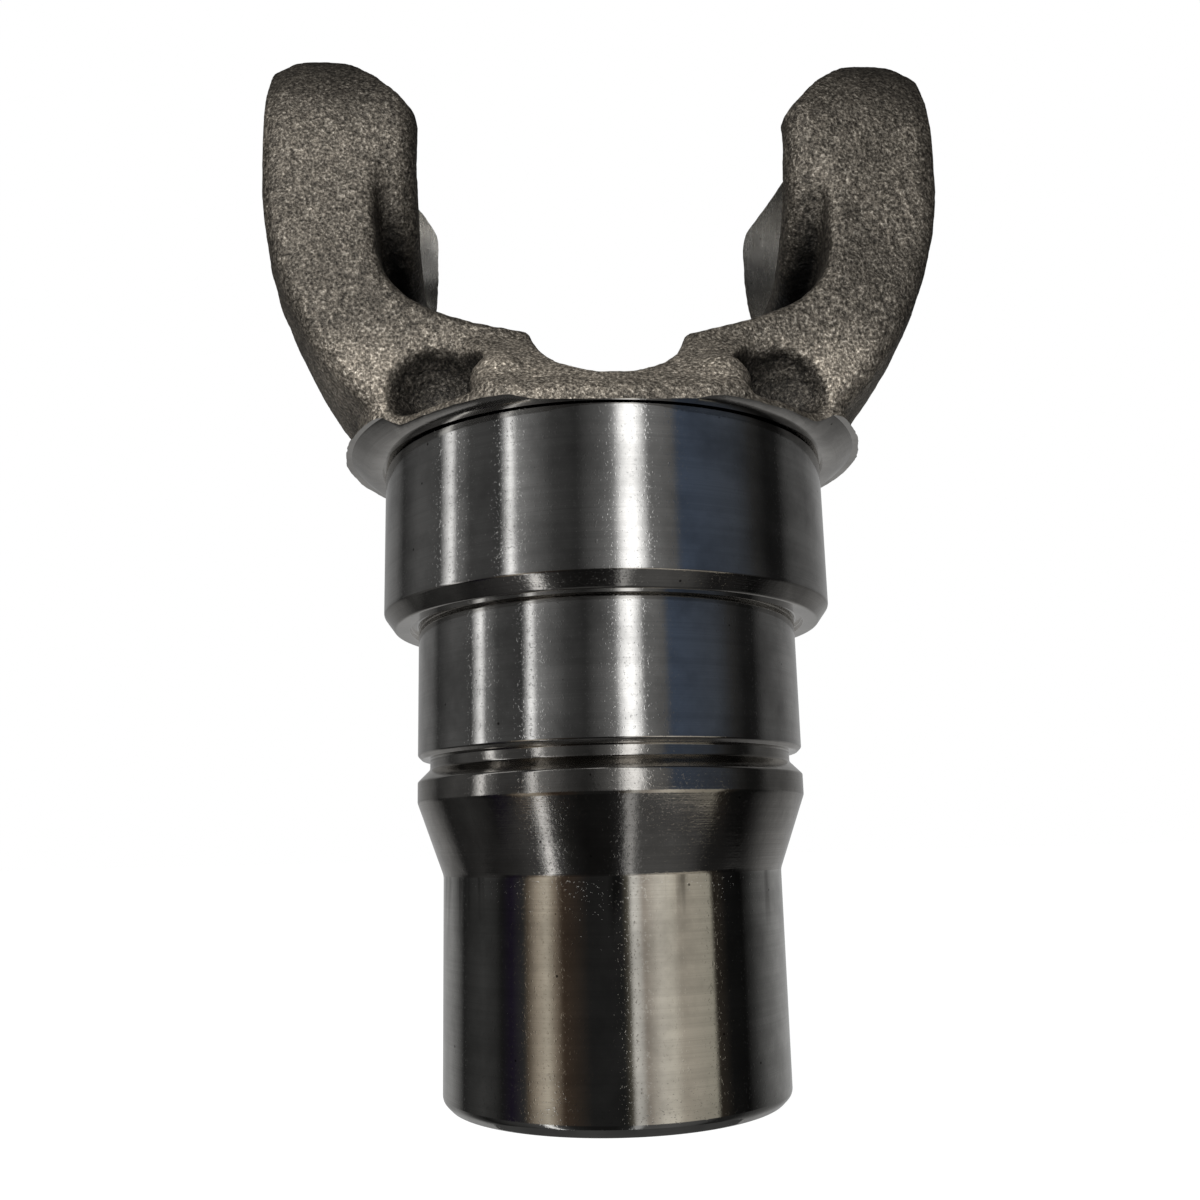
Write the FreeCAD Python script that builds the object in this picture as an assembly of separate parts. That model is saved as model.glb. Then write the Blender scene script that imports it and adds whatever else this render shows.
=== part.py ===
import FreeCAD, Part
import math
import os

from FreeCAD import Vector

# Forged yoke: a two-eared drive-shaft fork forged in one piece with a turned, ground
# and splined shank. Millimetres. +Z runs from the shank's end face up to the fork,
# the cross bore lies along X, and the origin is the centre of the shank's end face.

# Shank, from its end face upwards
TAIL_D = 55.0             # ground tail
TAIL_L = 35.0
TAIL_ROUND = 1.2          # rounding of the tail's outer edge
CONE_L = 11.6             # cone between the tail and the retaining band
BAND_D = 63.5             # short band under the snap-ring groove
BAND_L = 3.3
GROOVE_L = 4.3            # from the band to the bearing journal
GROOVE_DEPTH = 2.0
GROOVE_BEVEL = 2.0        # bevel of the band's upper corner, down to the groove's floor
BEARING_D = 63.5          # bearing journal
BEARING_L = 20.8
BEARING_CHAMFER = 0.7
SEAL_D = 75.0             # seal journal
SEAL_L = 27.3
SEAL_LEAD_L = 2.5         # lead-in cone at the seal journal's lower end
SEAL_LEAD_R = 1.8
UNDERCUT = 0.8            # runout grooves in the two shoulders
UNDERCUT_W = 1.4

# Collar, the turned foot of the forging
COLLAR_D = 86.4
COLLAR_L = 4.2
COLLAR_CHAMFER_R = 3.0
COLLAR_CHAMFER_L = 2.4
FOOT_W = 77.0             # width of the forged foot across its two flats, along Y

# Fork
BORE_D = 39.0             # cross bore
BORE_RISE = 52.2          # bore axis above the collar's underside
BORE_CHAMFER = 0.8
EAR_END_R = 24.2          # rounded ear ends, about the bore axis
EAR_GAP = 61.6            # between the two inner boss faces
BOSS_H = 6.0              # how far each boss stands in from its arm
BOSS_CHAMFER = 2.2
ARM_DRAFT = 1.5           # the arms widen towards the foot, degrees
EAR_SPAN = 115.0          # widest, across both ears
BELLY_R = 58.0            # curve of the ears' outer sides below the widest point
SHOULDER_R = 120.0        # and above it
BELLY_DROP = 6.3          # widest point below the bore axis
CROWN_R = 140.0           # slight crown of the outer sides, seen from above
SPOT_D = 46.0             # machined spot face round each end of the cross bore
SPOT_SPAN = 111.2         # across the two spot faces
BEVEL_RISE = 5.0          # start of the inner bevel above the bore axis
BEVEL_ANGLE = 40.0        # inner bevel from the vertical, degrees
RING_W = 1.9              # retaining-ring groove in each ear
RING_DEPTH = 1.3
RING_SPAN = 108.0         # between the outer walls of the two grooves

# Throat between the arms
THROAT_FLOOR = 15.7       # floor above the collar's underside, at the middle
THROAT_R = 77.0           # hollow curve of the floor
CORNER_R = 13.0           # corners between the floor and the arms
SCOOP_R = 12.3            # trough along Y in the floor, room for the cross as it swings
SCOOP_DEPTH = 9.8

# Forged foot of the fork, which the turned collar trims
FOOT_D = 82.6             # between the arms the forging is narrower than the collar
FOOT_LIP = 2.0            # upright edge of the foot's flats
NOSE_HALF_W = 15.0        # half width of the bulge on each flat of the foot
NOSE_FLARE = 8.0          # how much wider each way it is where it meets the arms
NOSE_SLOPE = 45.0         # it leans in towards the throat by this angle
POCKET_R = 9.0            # four hollows beside the two bulges
POCKET_X = 27.0
POCKET_Y = 30.0
POCKET_RISE = 6.0         # their centres above the collar's underside
POCKET_FLOOR = 1.5        # their floors above the collar's underside

EDGE_BEVEL = 1.8          # bevel of the long forged edges

# Splined bore in the shank
SPLINE_TEETH = 20
SPLINE_MAJOR_D = 44.0
SPLINE_MINOR_D = 39.6
SPLINE_L = 62.0
PILOT_D = 45.0            # plain mouth of the bore
PILOT_L = 6.0
RELIEF_D = 45.5           # tool relief beyond the spline
RELIEF_L = 5.0
DRILL_POINT_L = 7.0

# Heights and half widths worked out from the sizes above
BAND_Z = TAIL_L + CONE_L
GROOVE_Z = BAND_Z + BAND_L
BEARING_Z = GROOVE_Z + GROOVE_L
SEAL_Z = BEARING_Z + BEARING_L
COLLAR_Z = SEAL_Z + SEAL_L
FORK_Z = COLLAR_Z + COLLAR_CHAMFER_L
BORE_Z = COLLAR_Z + BORE_RISE
TOP_Z = BORE_Z + EAR_END_R
FLOOR_Z = COLLAR_Z + THROAT_FLOOR
BOSS_X = EAR_GAP / 2
ARM_X = BOSS_X + BOSS_H
ARM_HALF_W = EAR_END_R + BORE_RISE * math.tan(math.radians(ARM_DRAFT))
EVER = 200.0              # longer than anything here


def polygon(points):
    return Part.Face(Part.makePolygon(points + points[:1]))


def xz(x, z):
    return Vector(x, 0, z)


def through(face, axis, half):
    """Extrude a flat face to both sides of where it lies."""
    face.translate(axis * -half)
    return face.extrude(axis * (2 * half))


def turned(points, axis=Vector(0, 0, 1), centre=Vector()):
    """Solid of revolution from a closed profile."""
    return polygon(points).revolve(centre, axis, 360)


def both_sides(solid):
    """The solid and its mirror image across the plane X = 0."""
    return solid.fuse(solid.mirror(Vector(), Vector(1, 0, 0)))


def shank():
    """Everything turned about Z: tail, cone, band, journals and collar."""
    tail, band = TAIL_D / 2, BAND_D / 2
    bearing, seal = BEARING_D / 2, SEAL_D / 2
    groove = bearing - GROOVE_DEPTH
    collar = COLLAR_D / 2
    profile = [
        (0, 0),
        (tail - TAIL_ROUND, 0),
        (tail, TAIL_ROUND),
        (tail, TAIL_L),
        (band, BAND_Z),
        (band, GROOVE_Z),
        (groove, GROOVE_Z + GROOVE_BEVEL),
        (groove, BEARING_Z - BEARING_CHAMFER),
        (bearing - BEARING_CHAMFER, BEARING_Z - BEARING_CHAMFER),
        (bearing, BEARING_Z),
        (bearing, SEAL_Z + UNDERCUT),
        (bearing + UNDERCUT_W, SEAL_Z + UNDERCUT),
        (bearing + UNDERCUT_W, SEAL_Z),
        (seal - SEAL_LEAD_R, SEAL_Z),
        (seal, SEAL_Z + SEAL_LEAD_L),
        (seal, COLLAR_Z + UNDERCUT),
        (seal + UNDERCUT_W, COLLAR_Z + UNDERCUT),
        (seal + UNDERCUT_W, COLLAR_Z),
        (collar - COLLAR_CHAMFER_R, COLLAR_Z),
        (collar, FORK_Z),
        (collar, COLLAR_Z + COLLAR_L),
        (0, COLLAR_Z + COLLAR_L),
    ]
    above = Part.makeBox(EVER, EVER, EVER, Vector(-EVER / 2, -EVER / 2, COLLAR_Z))
    return turned([xz(r, z) for r, z in profile]).cut(above.cut(foot()))


def gable():
    """Seen along X: the foot's two flats, then the noses' slopes up to a ridge."""
    half = FOOT_W / 2
    lip_z = COLLAR_Z + FOOT_LIP
    ridge_z = lip_z + half / math.tan(math.radians(NOSE_SLOPE))
    face = polygon([
        Vector(0, -half, COLLAR_Z),
        Vector(0, half, COLLAR_Z),
        Vector(0, half, lip_z),
        Vector(0, 0, ridge_z),
        Vector(0, -half, lip_z),
    ])
    return through(face, Vector(1, 0, 0), EVER / 2)


def foot():
    """Outline of the forging at the collar: a flatted round with an arm on each side."""
    middle = Part.makeCylinder(FOOT_D / 2, EVER, Vector(0, 0, COLLAR_Z)).common(gable())
    arm_block = Part.makeBox(
        EVER, 2 * ARM_HALF_W, EVER, Vector(-EVER / 2, -ARM_HALF_W, COLLAR_Z))
    return middle.fuse(arm_block)


def outside_ears():
    """What lies outside the right ear's bellied and slightly crowned outer side."""
    belly_z = BORE_Z - BELLY_DROP
    low_z, high_z = COLLAR_Z, TOP_Z + 1
    widest = xz(EAR_SPAN / 2, belly_z)

    def on_curve(radius, z):
        return xz(widest.x - radius + math.sqrt(radius ** 2 - (z - belly_z) ** 2), z)

    def curve(radius, z):
        middle = on_curve(radius, (belly_z + z) / 2)
        return Part.Arc(widest, middle, on_curve(radius, z)).toShape()

    low, high = on_curve(BELLY_R, low_z), on_curve(SHOULDER_R, high_z)
    rest = Part.makePolygon([high, xz(EVER / 2, high_z), xz(EVER / 2, low_z), low])
    sides = [curve(BELLY_R, low_z), curve(SHOULDER_R, high_z)]
    face = Part.Face(Part.Wire(Part.__sortEdges__(sides + rest.Edges)))
    pivot = xz(EAR_SPAN / 2 - CROWN_R, 0)
    reach = math.degrees(math.asin(ARM_HALF_W / CROWN_R)) + 5
    face.rotate(pivot, Vector(0, 0, 1), -reach)
    return face.revolve(pivot, Vector(0, 0, 1), 2 * reach)


def side_outline():
    """Seen along X: two drafted flanks under a round end about the bore axis."""
    draft = math.radians(ARM_DRAFT)
    turn_y = EAR_END_R * math.cos(draft)
    turn_z = BORE_Z - EAR_END_R * math.sin(draft)
    foot_y = turn_y + (turn_z - FORK_Z) * math.tan(draft)
    left, right = Vector(0, -turn_y, turn_z), Vector(0, turn_y, turn_z)
    end = Part.Arc(left, Vector(0, 0, TOP_Z), right).toShape()
    rest = Part.makePolygon([right, Vector(0, foot_y, FORK_Z), Vector(0, -foot_y, FORK_Z), left])
    return through(Part.Face(Part.Wire([end] + rest.Edges)), Vector(1, 0, 0), EAR_SPAN / 2 + 1)


def throat():
    """Space between the arms: hollow floor, round corners, straight sides."""
    centre_z = FLOOR_Z + THROAT_R
    reach = THROAT_R - CORNER_R
    corner_x = ARM_X - CORNER_R
    corner_z = centre_z - math.sqrt(reach ** 2 - corner_x ** 2)
    lean = math.atan2(corner_x, centre_z - corner_z)
    meet = xz(THROAT_R * math.sin(lean), centre_z - THROAT_R * math.cos(lean))
    half = (lean + math.pi / 2) / 2
    mid = xz(corner_x + CORNER_R * math.sin(half), corner_z - CORNER_R * math.cos(half))
    side = xz(ARM_X, corner_z)

    def flip(point):
        return xz(-point.x, point.z)

    edges = [
        Part.makeLine(xz(ARM_X, EVER), side),
        Part.Arc(side, mid, meet).toShape(),
        Part.Arc(meet, xz(0, FLOOR_Z), flip(meet)).toShape(),
        Part.Arc(flip(meet), flip(mid), flip(side)).toShape(),
        Part.makeLine(flip(side), xz(-ARM_X, EVER)),
        Part.makeLine(xz(-ARM_X, EVER), xz(ARM_X, EVER)),
    ]
    return through(Part.Face(Part.Wire(edges)), Vector(0, 1, 0), EVER / 2)


def bosses():
    """Round bosses on the inner sides of the ears, about the bore axis."""
    rim = EAR_END_R - BOSS_CHAMFER
    points = [
        xz(BOSS_X, BORE_Z),
        xz(BOSS_X, BORE_Z + rim),
        xz(BOSS_X + BOSS_CHAMFER, BORE_Z + EAR_END_R),
        xz(ARM_X + 1, BORE_Z + EAR_END_R),
        xz(ARM_X + 1, BORE_Z),
    ]
    return both_sides(turned(points, Vector(1, 0, 0), Vector(0, 0, BORE_Z)))


def nose():
    """Bulge between the foot's two flats, leaning in to meet the arms."""
    half = FOOT_W / 2
    narrow, wide = NOSE_HALF_W, NOSE_HALF_W + NOSE_FLARE
    plan = polygon([
        Vector(-narrow, -half, COLLAR_Z + FOOT_LIP),
        Vector(narrow, -half, COLLAR_Z + FOOT_LIP),
        Vector(wide, -EAR_END_R, COLLAR_Z + FOOT_LIP),
        Vector(wide, EAR_END_R, COLLAR_Z + FOOT_LIP),
        Vector(narrow, half, COLLAR_Z + FOOT_LIP),
        Vector(-narrow, half, COLLAR_Z + FOOT_LIP),
        Vector(-wide, EAR_END_R, COLLAR_Z + FOOT_LIP),
        Vector(-wide, -EAR_END_R, COLLAR_Z + FOOT_LIP),
    ])
    return plan.extrude(Vector(0, 0, EVER)).common(gable())


def arms():
    """The forged U, its long outer edges bevelled before the throat is opened."""
    blank = side_outline().cut(both_sides(outside_ears()))
    long_edges = [e for e in blank.Edges if is_outer_edge(e)]
    return blank.makeChamfer(EDGE_BEVEL, long_edges).cut(throat().cut(bosses()))


def is_outer_edge(edge):
    """True for the edges where the outer sides meet the flanks and round ends."""
    box = edge.BoundBox
    return box.ZLength > 1 and box.XLength > 0.01


def scoop():
    """Trough along Y in the throat's floor."""
    axis_z = FLOOR_Z - SCOOP_DEPTH + SCOOP_R
    start = Vector(0, -EVER / 2, axis_z)
    return Part.makeCylinder(SCOOP_R, EVER, start, Vector(0, 1, 0))


def inner_bevel():
    """Slanted relief inside the ears' ends."""
    low = BORE_Z + BEVEL_RISE
    rise = TOP_Z - low + 1
    spread = BOSS_X + rise * math.tan(math.radians(BEVEL_ANGLE))
    face = polygon([xz(-BOSS_X, low), xz(BOSS_X, low), xz(spread, low + rise), xz(-spread, low + rise)])
    return through(face, Vector(0, 1, 0), EVER / 2)


def pockets():
    """Four hollows over the collar, beside the noses."""
    hollows = []
    for sx in (-1, 1):
        for sy in (-1, 1):
            centre = Vector(sx * POCKET_X, sy * POCKET_Y, COLLAR_Z + POCKET_RISE)
            hollows.append(Part.makeSphere(POCKET_R, centre))
    floor_z = COLLAR_Z + POCKET_FLOOR
    above = Part.makeBox(EVER, EVER, EVER, Vector(-EVER / 2, -EVER / 2, floor_z))
    return hollows[0].multiFuse(hollows[1:]).common(above)


def cross_bore():
    """Bore through both ears, with spot faces, chamfered mouths and ring grooves."""
    r = BORE_D / 2
    axis = Vector(1, 0, 0)
    spot_x = SPOT_SPAN / 2
    ring_x = RING_SPAN / 2 - RING_W

    def disc(radius, x, length):
        return Part.makeCylinder(radius, length, Vector(x, 0, BORE_Z), axis)

    mouth = Part.makeCone(r, r + BORE_CHAMFER, BORE_CHAMFER, Vector(spot_x - BORE_CHAMFER, 0, BORE_Z), axis)
    one_side = disc(SPOT_D / 2, spot_x, EVER).multiFuse([mouth, disc(r + RING_DEPTH, ring_x, RING_W)])
    return disc(r, -EVER, 2 * EVER).fuse(both_sides(one_side))


def spline_bore():
    """Plain mouth, straight-sided internal spline, relief and drill point."""
    spline_end = PILOT_L + SPLINE_L
    relief_end = spline_end + RELIEF_L
    bore = turned([
        xz(0, 0),
        xz(PILOT_D / 2 + 1, 0),
        xz(PILOT_D / 2, 1),
        xz(PILOT_D / 2, PILOT_L),
        xz(SPLINE_MINOR_D / 2, PILOT_L),
        xz(SPLINE_MINOR_D / 2, spline_end),
        xz(RELIEF_D / 2, spline_end),
        xz(RELIEF_D / 2, relief_end),
        xz(0, relief_end + DRILL_POINT_L),
    ])
    return bore.multiFuse(spline_grooves())


def spline_grooves():
    root, tip = SPLINE_MINOR_D / 2 - 1, SPLINE_MAJOR_D / 2
    pitch = math.pi * (SPLINE_MINOR_D + SPLINE_MAJOR_D) / 2 / SPLINE_TEETH
    wide, narrow = pitch * 0.31, pitch * 0.2
    slot = polygon([
        Vector(root, -wide, PILOT_L),
        Vector(root, wide, PILOT_L),
        Vector(tip, narrow, PILOT_L),
        Vector(tip, -narrow, PILOT_L),
    ]).extrude(Vector(0, 0, SPLINE_L))
    grooves = []
    for k in range(SPLINE_TEETH):
        groove = slot.copy()
        groove.rotate(Vector(), Vector(0, 0, 1), 360.0 * k / SPLINE_TEETH)
        grooves.append(groove)
    return grooves


def yoke():
    forging = arms().fuse(nose().cut(throat()))
    body = forging.fuse(shank()).cut(scoop()).cut(pockets()).cut(inner_bevel())
    return body.cut(cross_bore()).cut(spline_bore()).removeSplitter()


os.makedirs("parts", exist_ok=True)
part = yoke()
part.exportStep("parts/yoke.step")
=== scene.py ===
import math

import bmesh
import bpy
import numpy as np
from mathutils import Matrix, Vector, noise


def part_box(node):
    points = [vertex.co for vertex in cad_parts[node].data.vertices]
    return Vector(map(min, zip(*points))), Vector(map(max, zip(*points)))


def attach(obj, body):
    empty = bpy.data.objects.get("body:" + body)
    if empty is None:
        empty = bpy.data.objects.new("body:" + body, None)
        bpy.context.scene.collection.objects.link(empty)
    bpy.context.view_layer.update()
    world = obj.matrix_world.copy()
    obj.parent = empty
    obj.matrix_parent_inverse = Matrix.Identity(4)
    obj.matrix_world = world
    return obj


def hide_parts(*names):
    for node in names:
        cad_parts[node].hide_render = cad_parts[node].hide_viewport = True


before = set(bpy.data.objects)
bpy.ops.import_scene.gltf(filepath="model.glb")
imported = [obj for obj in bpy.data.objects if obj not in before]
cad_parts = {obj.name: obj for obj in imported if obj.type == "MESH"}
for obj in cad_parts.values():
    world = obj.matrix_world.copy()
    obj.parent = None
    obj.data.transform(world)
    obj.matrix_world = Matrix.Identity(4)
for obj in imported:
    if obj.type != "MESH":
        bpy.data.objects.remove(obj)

# Forged yoke. Lengths named here are millimetres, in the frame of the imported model:
# +Z up the shank to the fork, X along the cross bore. MM turns them into metres.
MM = 0.001

# Turned shank and collar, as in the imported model
TAIL_R, TAIL_TOP, TAIL_ROUND = 27.5, 35.0, 1.2
BAND_R, BAND_LOW, BAND_TOP = 31.75, 46.6, 49.9
GROOVE_R, GROOVE_LOW, GROOVE_TOP = 29.75, 51.9, 53.5
BEARING_R, BEARING_LOW, SEAL_LOW = 31.75, 54.2, 75.0
SEAL_R, SEAL_LEAD, SEAL_LEAD_R = 37.5, 2.5, 1.8
UNDERCUT, UNDERCUT_W = 0.8, 1.4
COLLAR_Z, COLLAR_R, COLLAR_CHAMFER = 102.3, 43.2, 3.0
GAP = 0.6                      # open line between the seal journal and the collar

# Fork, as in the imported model
FOOT_R, FOOT_HALF_W, ARM_HALF_W = 41.3, 38.5, 25.57
FORK_Z, TOP_Z = 104.7, 178.7
BORE_Z, BORE_R, BOSS_X, SPOT_X, SPOT_R = 154.5, 19.5, 30.8, 55.6, 23.0
RING_OUT, RING_W, RING_R = 54.0, 1.9, 20.8
BORE_CHAMFER = 0.8
BEVEL_RISE, BEVEL_ANGLE = 5.0, 40.0

# Splined bore in the shank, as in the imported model
TEETH, MAJOR_R, MINOR_R, SPLINE_TOP = 20, 22.0, 19.8, 68.0
PILOT_R, PILOT_L, RELIEF_R, RELIEF_TOP, POINT_TOP = 22.5, 6.0, 22.75, 73.0, 80.0

# Forging before it is machined
STOCK = 3.0                    # metal left under the collar, and turned off again
WIDER, PROUD = 1.3, 0.3        # rough collar past the turned one, out and up
CHEEK, CHEEK_R = (16.5, 30.5, 107.5), 5.0    # fuller sides of the bulges over the collar
# (radius, distance from the middle) of the metal that fills an ear's bore
PLUG = [(21.5, BOSS_X), (21.5, BOSS_X + 3), (21.2, 40), (21.2, 54.2), (23.0, 54.4), (22.6, 56.2)]

# Meshes
SHANK_SEGMENTS = 240
ARC_STEPS, ARC_SUPPORT = 4, 0.12    # pieces in a rounded corner, and the gap to its next ring
VOXEL = 0.68
SKIN_SEED = Vector((11.0, 5.0, 3.0))


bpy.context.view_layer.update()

# ---------------------------------------------------------------- mesh helpers


def new_object(name, verts, faces):
    mesh = bpy.data.meshes.new(name)
    mesh.from_pydata([Vector(v) * MM for v in verts], [], faces)
    mesh.validate()
    obj = bpy.data.objects.new(name, mesh)
    bpy.context.scene.collection.objects.link(obj)
    return obj


def lathe(name, rings, segments, axis="Z", offset=(0, 0, 0)):
    """Closed solid from (radius, height) rings. A radius may be a list, one for each segment."""
    verts, faces = [], []
    for radius, height in rings:
        for k in range(segments):
            r = radius[k] if isinstance(radius, list) else radius
            a = math.tau * k / segments
            p = (r * math.cos(a), r * math.sin(a), height)
            if axis == "X":
                p = (height, r * math.cos(a), r * math.sin(a))
            verts.append((p[0] + offset[0], p[1] + offset[1], p[2] + offset[2]))
    for i in range(len(rings) - 1):
        for k in range(segments):
            n = (k + 1) % segments
            a, b = i * segments, (i + 1) * segments
            faces.append((a + k, a + n, b + n, b + k))
    faces.append(tuple(reversed(range(segments))))
    last = (len(rings) - 1) * segments
    faces.append(tuple(last + k for k in range(segments)))
    obj = new_object(name, verts, faces)
    recalculate_normals(obj)
    return obj


def ball(centre, radius):
    turns = [math.pi * k / 24 for k in range(1, 24)]
    rings = [(radius * math.sin(t), -radius * math.cos(t)) for t in turns]
    return lathe("ball", rings, 48, offset=centre)


def recalculate_normals(obj):
    bm = bmesh.new()
    bm.from_mesh(obj.data)
    bmesh.ops.recalc_face_normals(bm, faces=bm.faces)
    bm.to_mesh(obj.data)
    bm.free()


def rounded(points):
    """Profile whose corners are arcs. A point is (radius, height, rounding)."""
    out = []
    count = len(points)
    for i, (r, z, rounding) in enumerate(points):
        p = Vector((r, z))
        if rounding == 0 or i in (0, count - 1):
            out.append((r, z))
            continue
        before = Vector(points[i - 1][:2]) - p
        after = Vector(points[i + 1][:2]) - p
        cut = min(rounding, before.length * 0.42, after.length * 0.42)
        a = p + before.normalized() * cut
        b = p + after.normalized() * cut
        if before.length > 4 * cut:
            out.append(tuple(a + before.normalized() * ARC_SUPPORT))
        for s in range(ARC_STEPS + 1):
            t = s / ARC_STEPS
            out.append(tuple(a * (1 - t) ** 2 + p * 2 * t * (1 - t) + b * t * t))
        if after.length > 4 * cut:
            out.append(tuple(b + after.normalized() * ARC_SUPPORT))
    return out


def apply_modifiers(obj):
    graph = bpy.context.evaluated_depsgraph_get()
    mesh = bpy.data.meshes.new_from_object(obj.evaluated_get(graph))
    obj.modifiers.clear()
    old = obj.data
    obj.data = mesh
    bpy.data.meshes.remove(old)


def boolean(obj, cutter, operation):
    mod = obj.modifiers.new("cut", "BOOLEAN")
    mod.object = cutter
    mod.operation = operation
    mod.solver = "EXACT"
    mod.material_mode = "TRANSFER"
    apply_modifiers(obj)
    bpy.data.objects.remove(cutter)


def join(target, others):
    bm = bmesh.new()
    for obj in [target] + others:
        bm.from_mesh(obj.data)
    bm.to_mesh(target.data)
    bm.free()
    for obj in others:
        bpy.data.objects.remove(obj)


# ---------------------------------------------------------------- materials


class Nodes:
    """Short way to build a node tree: a call adds a node and returns what comes out of it."""

    def __init__(self, tree):
        self.tree = tree

    def add(self, kind, output=0, inputs=None, **settings):
        node = self.tree.nodes.new(kind)
        for key, value in settings.items():
            setattr(node, key, value)
        for key, value in (inputs or {}).items():
            self.put(node.inputs[key], value)
        return node.outputs[output]

    def put(self, socket, value):
        if isinstance(value, bpy.types.NodeSocket):
            self.tree.links.new(value, socket)
        else:
            socket.default_value = value

    def math(self, operation, a, b=0.0, c=0.0):
        return self.add("ShaderNodeMath", inputs={0: a, 1: b, 2: c}, operation=operation)

    def vector(self, operation, a, b):
        return self.add("ShaderNodeVectorMath", inputs={0: a, 1: b}, operation=operation)

    def split(self, vector):
        node = self.tree.nodes.new("ShaderNodeSeparateXYZ")
        self.put(node.inputs[0], vector)
        return node.outputs[:]

    def noise(self, vector, scale, detail, rough):
        return self.add("ShaderNodeTexNoise", inputs={
            "Vector": vector, "Scale": scale, "Detail": detail, "Roughness": rough})

    def ramp(self, factor, stops):
        node = self.tree.nodes.new("ShaderNodeValToRGB")
        elements = node.color_ramp.elements
        elements[0].position, elements[0].color = stops[0][0], colour(stops[0][1])
        elements[1].position, elements[1].color = stops[-1][0], colour(stops[-1][1])
        for position, value in stops[1:-1]:
            elements.new(position).color = colour(value)
        self.put(node.inputs["Fac"], factor)
        return node.outputs["Color"]

    def mix(self, factor, a, b, blend="MIX"):
        node = self.tree.nodes.new("ShaderNodeMix")
        node.data_type, node.blend_type = "RGBA", blend
        self.put(node.inputs[0], factor)
        self.put(node.inputs[6], a if isinstance(a, bpy.types.NodeSocket) else colour(a))
        self.put(node.inputs[7], b if isinstance(b, bpy.types.NodeSocket) else colour(b))
        return node.outputs[2]

    def times(self, base, tones):
        return self.mix(1.0, base, tones, "MULTIPLY")

    def bump(self, height, strength, distance, normal=None):
        inputs = {"Height": height, "Strength": strength, "Distance": distance}
        if normal is not None:
            inputs["Normal"] = normal
        return self.add("ShaderNodeBump", inputs=inputs)


def colour(value):
    if isinstance(value, (int, float)):
        value = (value, value, value)
    return (*value[:3], 1.0)


def new_material(name):
    mat = bpy.data.materials.new(name)
    mat.use_nodes = True
    tree = mat.node_tree
    return mat, Nodes(tree), tree.nodes["Principled BSDF"]


def glow_only(n, shader, tones):
    """Makes a material give off these tones and nothing else."""
    glow = n.add("ShaderNodeEmission", inputs={"Color": tones, "Strength": 1.0})
    n.tree.links.new(glow, n.tree.nodes["Material Output"].inputs["Surface"])
    n.tree.nodes.remove(shader)


def millimetres(n):
    """Position in the object's own space, in millimetres."""
    place = n.add("ShaderNodeTexCoord", output="Object")
    return n.vector("MULTIPLY", place, (1000, 1000, 1000))


def round_marks(n, place, axis, across, along=0.02):
    """Stretches noise into rings round an axis, fine across them and slow along them."""
    scale = [along, along, along]
    scale["XYZ".index(axis)] = across
    return n.vector("MULTIPLY", place, scale)


def forged_skin():
    """Shot-blasted forging: sandy grain, brown-grey with paler specks.

    Its colour is paler at the foot of the fork, and darker in the hollows and at the ears' ends,
    where the photograph's light makes it so.
    """
    mat, n, shader = new_material("forged_skin")
    p = millimetres(n)
    sand = n.noise(p, 2.1, 2.0, 0.55)
    fine = n.noise(p, 5.0, 2.0, 0.6)
    patch = n.noise(p, 0.055, 3.0, 0.55)
    soft = n.noise(p, 0.30, 3.0, 0.5)
    peel = n.noise(p, 0.85, 3.0, 0.6)
    base = n.ramp(sand, [(0.32, (0.030, 0.026, 0.021)), (0.46, (0.085, 0.074, 0.060)),
                         (0.58, (0.150, 0.132, 0.108)), (0.72, (0.330, 0.300, 0.255))])
    base = n.times(base, n.ramp(patch, [(0.35, 0.75), (0.65, 1.15)]))
    base = n.times(base, n.ramp(peel, [(0.38, 0.70), (0.62, 1.25)]))
    speck = n.ramp(fine, [(0.60, 0.0), (0.74, 1.0)])
    base = n.mix(n.math("MULTIPLY", speck, 0.30), base, (0.42, 0.39, 0.33))
    # Painted light and shade by height: the colour is made paler at the foot of the fork and
    # darker towards the ears' ends.
    rise = 1 / (TOP_Z - COLLAR_Z)
    painted_light_by_height = n.math("MULTIPLY_ADD", n.split(p)[2], rise, -COLLAR_Z * rise)
    base = n.times(base, n.ramp(painted_light_by_height, [(0.0, 1.2), (0.06, 2.4), (0.14, 2.2), (0.24, 1.0),
                                        (0.72, 1.0), (0.84, 0.66), (0.93, 0.42), (1.0, 0.30)]))
    # Painted shade: the colour darkens to near black where the surface is shut in, in the hollows.
    painted_shade_ao = n.add("ShaderNodeAmbientOcclusion", output="AO", samples=6,
                     inputs={"Distance": 20 * MM})
    base = n.times(base, n.ramp(painted_shade_ao, [(0.60, 0.02), (0.94, 1.0)]))
    n.put(shader.inputs["Base Color"], base)
    n.put(shader.inputs["Roughness"], n.ramp(fine, [(0.35, 0.66), (0.70, 0.46)]))
    shader.inputs["Metallic"].default_value = 0.76
    bump = n.bump(soft, 0.5, 0.0006)
    bump = n.bump(peel, 0.9, 0.0004, bump)
    bump = n.bump(sand, 0.9, 0.00022, bump)
    bump = n.bump(fine, 0.5, 0.00008, bump)
    n.put(shader.inputs["Normal"], bump)
    return mat


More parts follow.
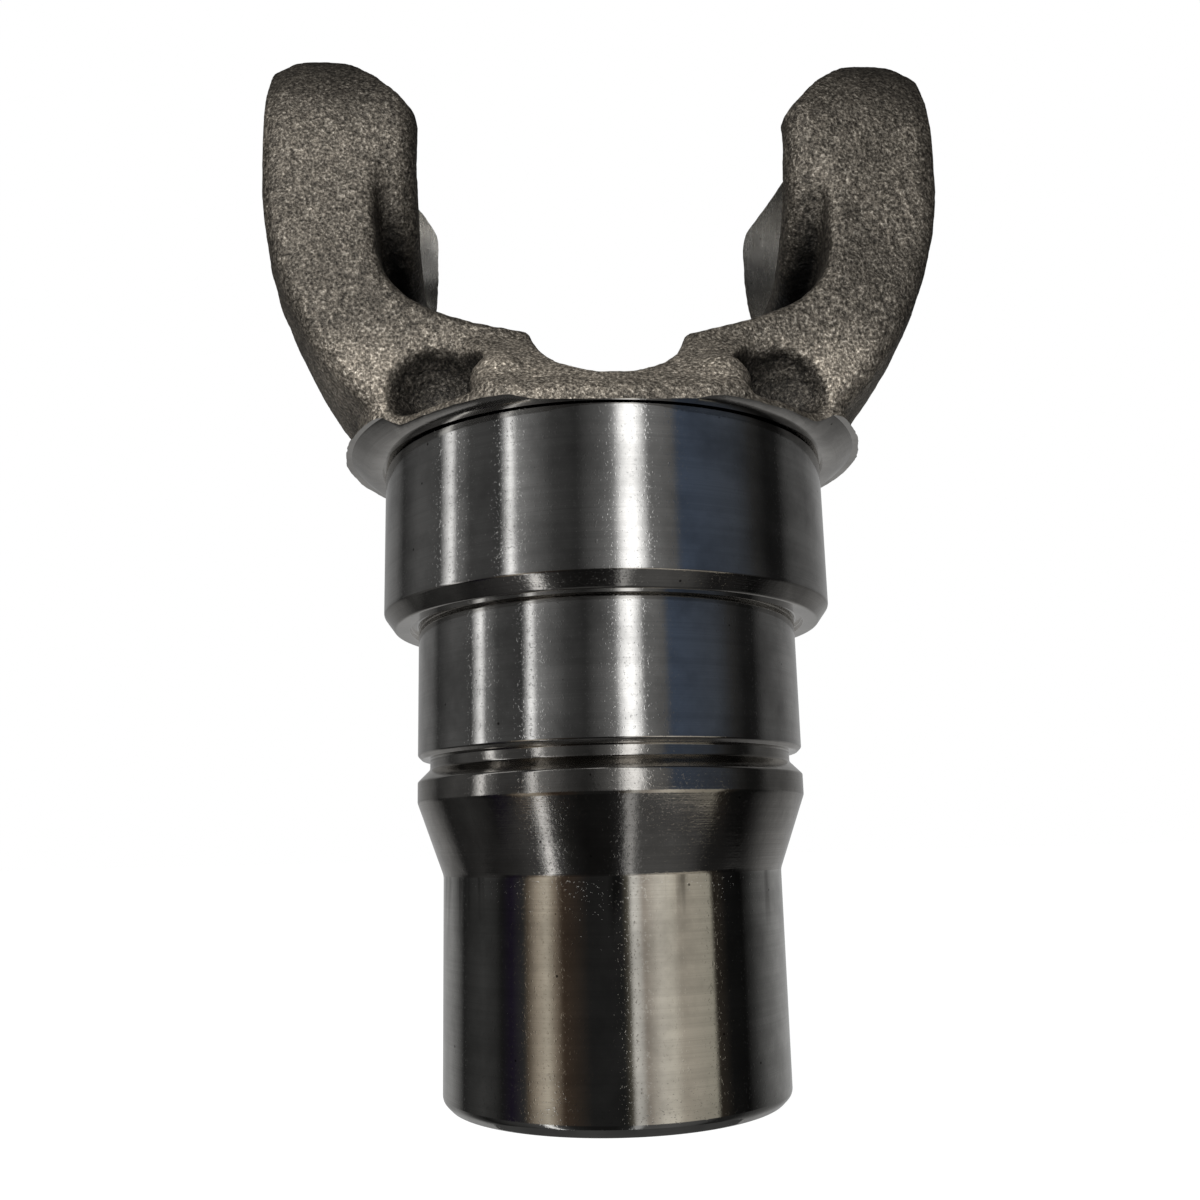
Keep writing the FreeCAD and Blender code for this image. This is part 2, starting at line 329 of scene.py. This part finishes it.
def turned_steel(name, tint, rough, uneven, ring_scale, ring_depth, axis="Z"):
    """Lathe-turned steel: rings of tool marks, stains, scuffs, fine pits and small nicks.

    uneven is how far the scuffs move the roughness. The rings go round axis: ring_scale says how
    fine they are, and ring_depth how deep, in metres.
    """
    mat, n, shader = new_material(name)
    p = millimetres(n)
    rings = n.noise(round_marks(n, p, axis, ring_scale), 1.0, 3.0, 0.65)
    bands = n.noise(round_marks(n, p, axis, 0.9, 0.01), 1.0, 3.0, 0.6)
    stain = n.noise(p, 0.12, 4.0, 0.6)
    scuff = n.noise(round_marks(n, p, axis, 1.6, 0.25), 1.0, 5.0, 0.75)
    ripple = n.noise(p, 0.9, 4.0, 0.65)
    pits = n.ramp(n.noise(p, 2.4, 2.0, 0.6), [(0.60, 0.0), (0.72, 1.0)])
    nick = n.add("ShaderNodeTexVoronoi", inputs={"Vector": p, "Scale": 0.22}, feature="F1")
    dark = tuple(c * 0.60 for c in tint)
    base = n.mix(n.ramp(stain, [(0.42, 0.0), (0.72, 1.0)]), tint, dark)
    base = n.mix(n.math("MULTIPLY", n.ramp(rings, [(0.35, 1.0), (0.6, 0.0)]), 0.30), base, dark)
    base = n.mix(n.math("MULTIPLY", n.ramp(bands, [(0.40, 1.0), (0.55, 0.0)]), 0.25), base, dark)
    base = n.mix(n.ramp(nick, [(0.035, 0.8), (0.05, 0.0)]), base, (0.03, 0.025, 0.02))
    n.put(shader.inputs["Base Color"], base)
    n.put(shader.inputs["Roughness"], n.math("MULTIPLY_ADD", scuff, uneven, rough - uneven / 2))
    shader.inputs["Metallic"].default_value = 1.0
    bump = n.bump(rings, 0.6, ring_depth)
    bump = n.bump(ripple, 0.5, ring_depth * 2.2, bump)
    bump = n.bump(pits, 0.5, 0.000012, bump)
    n.put(shader.inputs["Normal"], n.bump(scuff, 0.2, ring_depth, bump))
    return mat


def add_drips(mat):
    """Short dark runs of dried oil, down from the top of the tail."""
    n = Nodes(mat.node_tree)
    shader = mat.node_tree.nodes["Principled BSDF"]
    x, y, z = n.split(millimetres(n))
    round_it = n.math("MULTIPLY", n.math("ARCTAN2", y, x), TAIL_R)
    across = n.add("ShaderNodeCombineXYZ", inputs={
        "X": round_it, "Y": 3.0, "Z": n.math("MULTIPLY", z, 0.02)})
    where = n.ramp(n.noise(across, 0.42, 2.0, 0.5), [(0.53, 0.0), (0.70, 1.0)])
    reach = n.math("MULTIPLY", n.noise(across, 0.8, 1.0, 0.5), 14.0)
    below = n.math("SUBTRACT", TAIL_TOP, z)
    left = n.math("MULTIPLY", n.math("SUBTRACT", reach, below), 0.2)
    fade = n.ramp(left, [(0.0, 0.0), (1.0, 1.0)])
    stain = n.math("MULTIPLY", n.math("MULTIPLY", where, fade), 0.6)
    before = shader.inputs["Base Color"].links[0].from_socket
    n.put(shader.inputs["Base Color"], n.mix(stain, before, (0.035, 0.028, 0.022)))


def floor_material():
    """Pale paper that shows as white, with a trace of the object's shadow."""
    mat, n, shader = new_material("paper")
    shader.inputs["Base Color"].default_value = colour(0.85)
    shader.inputs["Roughness"].default_value = 0.9
    shader.inputs["Specular IOR Level"].default_value = 0.1
    white = n.add("ShaderNodeEmission", inputs={"Color": colour(1.0), "Strength": 1.22})
    seen = white_rays(n)
    mixed = n.add("ShaderNodeMixShader", inputs={
        0: n.math("MULTIPLY", seen, 0.8), 1: shader.outputs[0], 2: white})
    n.tree.links.new(mixed, n.tree.nodes["Material Output"].inputs["Surface"])
    return mat


def white_rays(n):
    """1 for the rays that see the plain white studio: camera, glossy and transmission."""
    path = n.tree.nodes.new("ShaderNodeLightPath")
    total = n.math("ADD", path.outputs["Is Camera Ray"], path.outputs["Is Glossy Ray"])
    total = n.math("ADD", total, path.outputs["Is Transmission Ray"])
    return n.math("MINIMUM", total, 1.0)


def card_material(name, stops):
    """Studio card seen by the metal: tones by bearing round the object."""
    mat, n, shader = new_material(name)
    x, y, _ = n.split(n.add("ShaderNodeTexCoord", output="Object"))
    bearing = n.math("ARCTAN2", x, n.math("MULTIPLY", y, -1.0))
    turn = n.math("MULTIPLY_ADD", bearing, 1 / math.tau, 0.5)
    glow_only(n, shader, n.ramp(turn, [((deg + 180) / 360, tone) for deg, tone in stops]))
    return mat


# ---------------------------------------------------------------- the object

FORGED = forged_skin()
MACHINED = turned_steel("machined_bore", (0.74, 0.72, 0.68), 0.26, 0.14, 7.0, 0.00002, "X")
TURNED = turned_steel("turned_face", (0.58, 0.56, 0.53), 0.08, 0.05, 8.0, 0.000012)
GROUND = turned_steel("ground_journal", (0.76, 0.75, 0.73), 0.045, 0.04, 22.0, 0.000004)
POLISHED = turned_steel("ground_tail", (0.76, 0.75, 0.72), 0.03, 0.03, 26.0, 0.000002)
SPLINED = turned_steel("broached_bore", (0.33, 0.31, 0.28), 0.36, 0.14, 2.0, 0.00003)
add_drips(POLISHED)


def shank_outside():
    """(radius, height, rounding) from the end face up into the foot of the fork."""
    return [
        (PILOT_R + 1, 0, 0.15),
        (TAIL_R - TAIL_ROUND, 0, 0.3),
        (TAIL_R, TAIL_ROUND, 0.6),
        (TAIL_R, TAIL_TOP, 0.5),
        (BAND_R, BAND_LOW, 0.25),
        (BAND_R, BAND_TOP, 0.2),
        (GROOVE_R, GROOVE_LOW, 0.3),
        (GROOVE_R, GROOVE_TOP, 0.15),
        (BEARING_R - 0.7, GROOVE_TOP, 0.15),
        (BEARING_R, BEARING_LOW, 0.2),
        (BEARING_R, SEAL_LOW + UNDERCUT, 0.2),
        (BEARING_R + UNDERCUT_W, SEAL_LOW + UNDERCUT, 0.2),
        (BEARING_R + UNDERCUT_W, SEAL_LOW, 0.15),
        (SEAL_R - SEAL_LEAD_R, SEAL_LOW, 0.25),
        (SEAL_R, SEAL_LOW + SEAL_LEAD, 0.3),
        (SEAL_R, COLLAR_Z + UNDERCUT, 0.1),
        (SEAL_R, FORK_Z, 0),
    ]


def star():
    """Radius of the splined bore at each segment: lands and slots by turns."""
    each = SHANK_SEGMENTS // TEETH
    slot = each // 2 - 1
    return [MAJOR_R if k % each < slot else MINOR_R for k in range(SHANK_SEGMENTS)]


def shank_inside():
    """Rings of the splined bore, from its blind end down to its mouth."""
    teeth = star()
    return [
        (0.05, POINT_TOP), (RELIEF_R, RELIEF_TOP), (RELIEF_R, SPLINE_TOP),
        (teeth, SPLINE_TOP), (teeth, PILOT_L), (PILOT_R, PILOT_L), (PILOT_R, 1.0),
    ]


def make_shank():
    outside = rounded(shank_outside())
    rings = shank_inside() + outside + [(0.05, FORK_Z)]
    shank = lathe("shank", rings, SHANK_SEGMENTS)
    mesh = shank.data
    for mat in (GROUND, POLISHED, TURNED, SPLINED):
        mesh.materials.append(mat)
    ground, polished, turned, splined = range(4)
    for face in mesh.polygons:
        c = face.center / MM
        r = math.hypot(c.x, c.y)
        lead_in = SEAL_LOW - 0.1 < c.z < SEAL_LOW + SEAL_LEAD and r > BEARING_R + 0.3
        if r < PILOT_R + 1.2 and c.z < POINT_TOP + 1:
            face.material_index = splined
        elif c.z < TAIL_TOP:
            face.material_index = polished
        elif c.z < BEARING_LOW or lead_in:
            face.material_index = turned
        else:
            face.material_index = ground
    shade_smooth(mesh, 35)
    return shank


def shade_smooth(mesh, angle):
    """Smooth shading, but for the edges that turn by more than the angle in degrees."""
    mesh.set_sharp_from_angle(angle=math.radians(angle))
    for face in mesh.polygons:
        face.use_smooth = True


# Cutters reach past what they cut, by round amounts that don't show.


def bevel_cutter():
    """The slanted relief inside the ears' ends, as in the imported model."""
    low, high = BORE_Z + BEVEL_RISE, BORE_Z + 30
    spread = BOSS_X + (high - low) * math.tan(math.radians(BEVEL_ANGLE))
    ends = [(-BOSS_X, low), (BOSS_X, low), (spread, high), (-spread, high)]
    verts = [(x, y, z) for y in (-40, 40) for x, z in ends]
    faces = [(0, 1, 2, 3), (7, 6, 5, 4)]
    faces += [(k, (k + 1) % 4, (k + 1) % 4 + 4, k + 4) for k in range(4)]
    cutter = new_object("bevel_cutter", verts, faces)
    recalculate_normals(cutter)
    return cutter


def flatted_round(name, radius, top, half_width):
    """Disc over the collar's underside with two flats, at plus and minus half_width in Y."""
    disc = lathe(name, [(radius, COLLAR_Z - STOCK), (radius, top)], 160)
    reach = 60
    corner = reach * math.sqrt(2)
    block = lathe("block", [(corner, COLLAR_Z - 9), (corner, FORK_Z + 9)], 4)
    square = Matrix.Rotation(math.radians(45), 4, "Z")
    block.data.transform(Matrix.Diagonal((1, half_width / reach, 1, 1)) @ square)
    boolean(disc, block, "INTERSECT")
    return disc


def raw_forging():
    """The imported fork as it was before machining: bores plugged, foot left long."""
    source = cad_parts["yoke"].data.copy()
    raw = bpy.data.objects.new("forging", source)
    bpy.context.scene.collection.objects.link(raw)
    source.materials.clear()
    bm = bmesh.new()
    bm.from_mesh(source)
    bmesh.ops.remove_doubles(bm, verts=bm.verts, dist=1e-6)
    everything = bm.verts[:] + bm.edges[:] + bm.faces[:]
    cut = bmesh.ops.bisect_plane(bm, geom=everything, plane_co=(0, 0, (COLLAR_Z - STOCK) * MM),
                                 plane_no=(0, 0, -1), clear_outer=True)
    edges = [e for e in cut["geom_cut"] if isinstance(e, bmesh.types.BMEdge)]
    bmesh.ops.holes_fill(bm, edges=edges)
    bm.to_mesh(source)
    bm.free()
    plugs = []
    for side in (-1, 1):
        rings = [(radius, side * x) for radius, x in PLUG]
        plug = lathe("plug", rings, 96, "X", (0, 0, BORE_Z))
        boolean(plug, bevel_cutter(), "DIFFERENCE")
        plugs.append(plug)
    foot = flatted_round("foot", FOOT_R, FORK_Z, FOOT_HALF_W)
    wide = flatted_round("wide", COLLAR_R + WIDER, FORK_Z + PROUD, ARM_HALF_W)
    x, y, z = CHEEK
    cheeks = [ball((sx * x, sy * y, z), CHEEK_R) for sx in (-1, 1) for sy in (-1, 1)]
    join(raw, plugs + cheeks + [foot, wide])
    return raw


def skin_height(p):
    """How far the forged skin stands proud at a point, in millimetres."""
    q = p + SKIN_SEED
    swell = noise.noise(q * 0.055) * 0.22
    wave = noise.noise(q * 0.21) * 0.17
    grain = noise.noise(q * 0.75) * 0.085
    sand = noise.noise(q * 1.5) * 0.055
    return swell + wave + grain + sand


def forge(raw):
    """Remeshes the raw forging, softens its edges and gives it a rough skin inside the CAD box."""
    remesh = raw.modifiers.new("remesh", "REMESH")
    remesh.mode = "VOXEL"
    remesh.voxel_size = VOXEL * MM
    remesh.adaptivity = 0
    smooth = raw.modifiers.new("soften", "SMOOTH")
    smooth.factor, smooth.iterations = 0.5, 20
    apply_modifiers(raw)
    mesh = raw.data
    count = len(mesh.vertices)
    place, normal = np.zeros(count * 3), np.zeros(count * 3)
    mesh.vertices.foreach_get("co", place)
    mesh.vertex_normals.foreach_get("vector", normal)
    place, normal = place.reshape(-1, 3) / MM, normal.reshape(-1, 3)
    rise = np.array([skin_height(Vector(p)) for p in place])
    place += normal * rise[:, None]
    low, high = (np.array(corner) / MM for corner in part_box("yoke"))
    place = np.clip(place, low, high)
    mesh.vertices.foreach_set("co", (place * MM).ravel())
    mesh.update()


def bore_cutter():
    """Both ears' bores, with their ring grooves, chamfers and spot faces."""
    half = [
        (BORE_R, 0.0), (BORE_R, BOSS_X + 1),
        (BORE_R, RING_OUT - RING_W), (RING_R, RING_OUT - RING_W), (RING_R, RING_OUT),
        (BORE_R, RING_OUT), (BORE_R, SPOT_X - BORE_CHAMFER), (BORE_R + BORE_CHAMFER, SPOT_X),
        (SPOT_R, SPOT_X), (SPOT_R, SPOT_X + 12),
    ]
    rings = [(r, -x) for r, x in reversed(half[1:])] + half[1:]
    return lathe("bore_cutter", rings, 160, "X", (0, 0, BORE_Z))


def collar_cutter():
    """All that the lathe took off round the foot: below it, and its chamfer."""
    underside = COLLAR_R - COLLAR_CHAMFER
    rings = [
        (70.0, COLLAR_Z - 12), (70.0, FORK_Z - 0.2), (COLLAR_R, FORK_Z - 0.2),
        (COLLAR_R, FORK_Z - 0.25), (underside, COLLAR_Z), (SEAL_R + GAP, COLLAR_Z),
        (SEAL_R + GAP, COLLAR_Z + UNDERCUT),
    ]
    return lathe("collar_cutter", rings, 240)


def make_forging():
    forging = raw_forging()
    forge(forging)
    forging.data.materials.append(FORGED)
    for cutter, mat in ((bore_cutter(), MACHINED), (collar_cutter(), TURNED)):
        cutter.data.materials.append(mat)
        boolean(forging, cutter, "DIFFERENCE")
    shade_smooth(forging.data, 38)
    return forging


forging = make_forging()
shank = make_shank()
for piece in (forging, shank):
    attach(piece, "root")
    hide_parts("yoke")

# ---------------------------------------------------------------- studio

# Tones of the cards as (bearing, tone), set for the bands that the photograph's steel
# shows. A bearing is in degrees from the front, positive to the right. The tail shows the lower
# card, the cone the cone card and the journals the upper card.
LOWER_TONES = [
    (-180, 0.5), (-128.9, 0.25), (-118.6, 0.13), (-110.3, 0.02), (-102, 0.03), (-89.6, 0.045),
    (-79.2, 0.03), (-73.9, 0.012), (-66.5, (0.012, 0.009, 0.018)), (-57.9, 0.03),
    (-54.7, (0.1, 0.08, 0.06)), (-48.2, (0.36, 0.31, 0.25)), (-42.8, (0.5, 0.45, 0.37)),
    (-37.5, (0.22, 0.18, 0.14)), (-33.2, (0.05, 0.035, 0.025)), (-17.2, 0.016), (2.2, 0.02),
    (5.5, (0.1, 0.09, 0.07)), (7.7, (0.72, 0.7, 0.66)), (11.1, (0.62, 0.6, 0.56)),
    (14.4, (0.34, 0.3, 0.26)), (23, (0.64, 0.6, 0.53)), (30.6, (0.62, 0.58, 0.5)),
    (35.9, (0.42, 0.38, 0.32)), (56.1, (0.32, 0.3, 0.25)), (58.7, (0.03, 0.025, 0.02)),
    (68.6, 0.008), (81.4, 0.006), (89.7, 0.04), (106.3, 0.15), (127.1, 0.3), (180, 0.5),
]
UPPER_TONES = [
    (-180, 0.5), (-125, 0.20), (-112, 0.13), (-104, 0.04), (-90, 0.09), (-74, 0.08),
    (-68, 1.3), (-65, 0.22), (-58, 0.065), (-43, 0.05), (-39, 1.4), (-37, 0.30),
    (-31, 0.16), (-22, 0.055), (-13, 0.03), (-4, 0.12), (1, 0.24), (4, 1.3),
    (8, 1.9), (11, 1.1), (14, 0.20), (24, 0.11), (26, (0.055, 0.072, 0.105)),
    (50, (0.050, 0.058, 0.072)), (60, 0.03), (68, 0.012), (76, 0.014), (84, 0.075), (100, 0.11),
    (130, 0.3), (180, 0.5),
]
CONE_TONES = [
    (-180, 0.4), (-126.9, 0.25), (-106.1, 0.05), (-90.7, 0.012), (-75, 0.03), (-60.1, 0.05),
    (-50.4, 0.08), (-47.1, 0.14), (-45.5, 1.2), (-42.3, 1.2), (-39.6, 0.12), (-35.3, 0.06),
    (-30, 0.02), (-19.3, 0.01), (-4.3, 0.012), (4.4, 0.03), (6.6, 0.5), (10, 0.45), (12.2, 0.1),
    (32.7, 0.1), (49.8, 0.07), (58.2, 0.02), (72.9, 0.018), (85.6, 0.06), (106.3, 0.14),
    (135.9, 0.3), (180, 0.4),
]
SKY_TONES = [
    (-180, 0.10), (-120, 0.04), (-60, 0.03), (-30, 0.06), (-18, 0.45), (-12, 0.80), (-7, 0.40),
    (-2, 0.06), (8, 0.02), (60, 0.012), (120, 0.03), (180, 0.10),
]
NEAR, FAR = 90.0, 150.0     # radii of the cards


def studio_card(name, radius, low, high, stops):
    """Upright ring of card round the object that only its reflections see."""
    card = lathe(name, [(radius, low), (radius, high)], 180)
    bm = bmesh.new()
    bm.from_mesh(card.data)
    lids = [f for f in bm.faces if len(f.verts) > 4]
    bmesh.ops.delete(bm, geom=lids, context="FACES")
    bm.to_mesh(card.data)
    bm.free()
    card.data.materials.append(card_material(name, stops))
    hide_from_all_but_metal(card)


def flat_card(name, height, tone):
    """Level dark card, over or under the object, that only reflections see."""
    card = lathe(name, [(FAR, height), (FAR, height + 2)], 64)
    mat, n, shader = new_material(name)
    glow_only(n, shader, colour(tone))
    card.data.materials.append(mat)
    hide_from_all_but_metal(card)


def hide_from_all_but_metal(card):
    for ray in ("camera", "diffuse", "transmission", "volume_scatter", "shadow"):
        setattr(card, "visible_" + ray, False)


def lit_by_lamps():
    """What the lamps light: the forging and the floor. The bright shank sees only the cards."""
    group = bpy.data.collections.new("lit_by_lamps")
    for obj in (forging, bpy.data.objects["floor"]):
        group.objects.link(obj)
    return group


def area_lamp(name, place, aim, side, power, receivers):
    """Square lamp. Its place and aim are in metres, and it lights the receivers alone."""
    data = bpy.data.lights.new(name, "AREA")
    data.size, data.energy = side, power
    lamp = bpy.data.objects.new(name, data)
    lamp.location = place
    lamp.rotation_euler = (Vector(aim) - Vector(place)).to_track_quat("-Z", "Y").to_euler()
    bpy.context.scene.collection.objects.link(lamp)
    lamp.light_linking.receiver_collection = receivers


def make_world():
    world = bpy.data.worlds.new("studio")
    bpy.context.scene.world = world
    world.use_nodes = True
    n = Nodes(world.node_tree)
    back = world.node_tree.nodes["Background"]
    n.put(back.inputs["Color"], n.mix(white_rays(n), 0.28, 1.0))
    back.inputs["Strength"].default_value = 1.0


def make_floor():
    reach = 3000
    corners = [(-reach, -reach, 0), (reach, -reach, 0), (reach, reach, 0), (-reach, reach, 0)]
    floor = new_object("floor", corners, [(0, 1, 2, 3)])
    floor.data.materials.append(floor_material())
    floor.visible_glossy = False    # the metal sees the cards instead


def make_camera():
    """Low in front of the shank, tilted up, a little to the left of square on."""
    data = bpy.data.cameras.new("camera")
    data.sensor_width, data.lens = 36.0, 35.4
    data.clip_start, data.clip_end = 0.01, 20
    camera = bpy.data.objects.new("camera", data)
    distance, height = 199.13 * MM, 39.73 * MM
    bearing, aside, pitch, roll = (math.radians(a) for a in (-3.1, -0.28, 11.60, -1.34))
    turn = Matrix.Rotation(bearing, 4, "Z")
    look = Matrix.Rotation(-aside, 4, "Z") @ Matrix.Rotation(math.pi / 2 + pitch, 4, "X")
    tilt = Matrix.Rotation(roll, 4, "Z")
    camera.matrix_world = turn @ Matrix.Translation((0, -distance, height)) @ look @ tilt
    bpy.context.scene.collection.objects.link(camera)
    bpy.context.scene.camera = camera


studio_card("cone_card", FAR, -150.0, -32.0, CONE_TONES)
studio_card("lower_card", FAR, -32.0, 45.0, LOWER_TONES)
studio_card("upper_card", NEAR, 45.0, 150.0, UPPER_TONES)
studio_card("sky_card", NEAR, 150.0, 300.0, SKY_TONES)
make_floor()
lit = lit_by_lamps()
flat_card("overhead_card", 300.0, 0.02)
flat_card("underfoot_card", -150.0, 0.06)
area_lamp("key", (-0.40, -0.85, 0.42), (0, 0, 0.13), 0.35, 9.0, lit)
area_lamp("fill", (0.25, -0.90, 0.05), (0, 0, 0.12), 0.3, 2.0, lit)
make_world()
make_camera()

bpy.context.scene.view_settings.view_transform = "Standard"
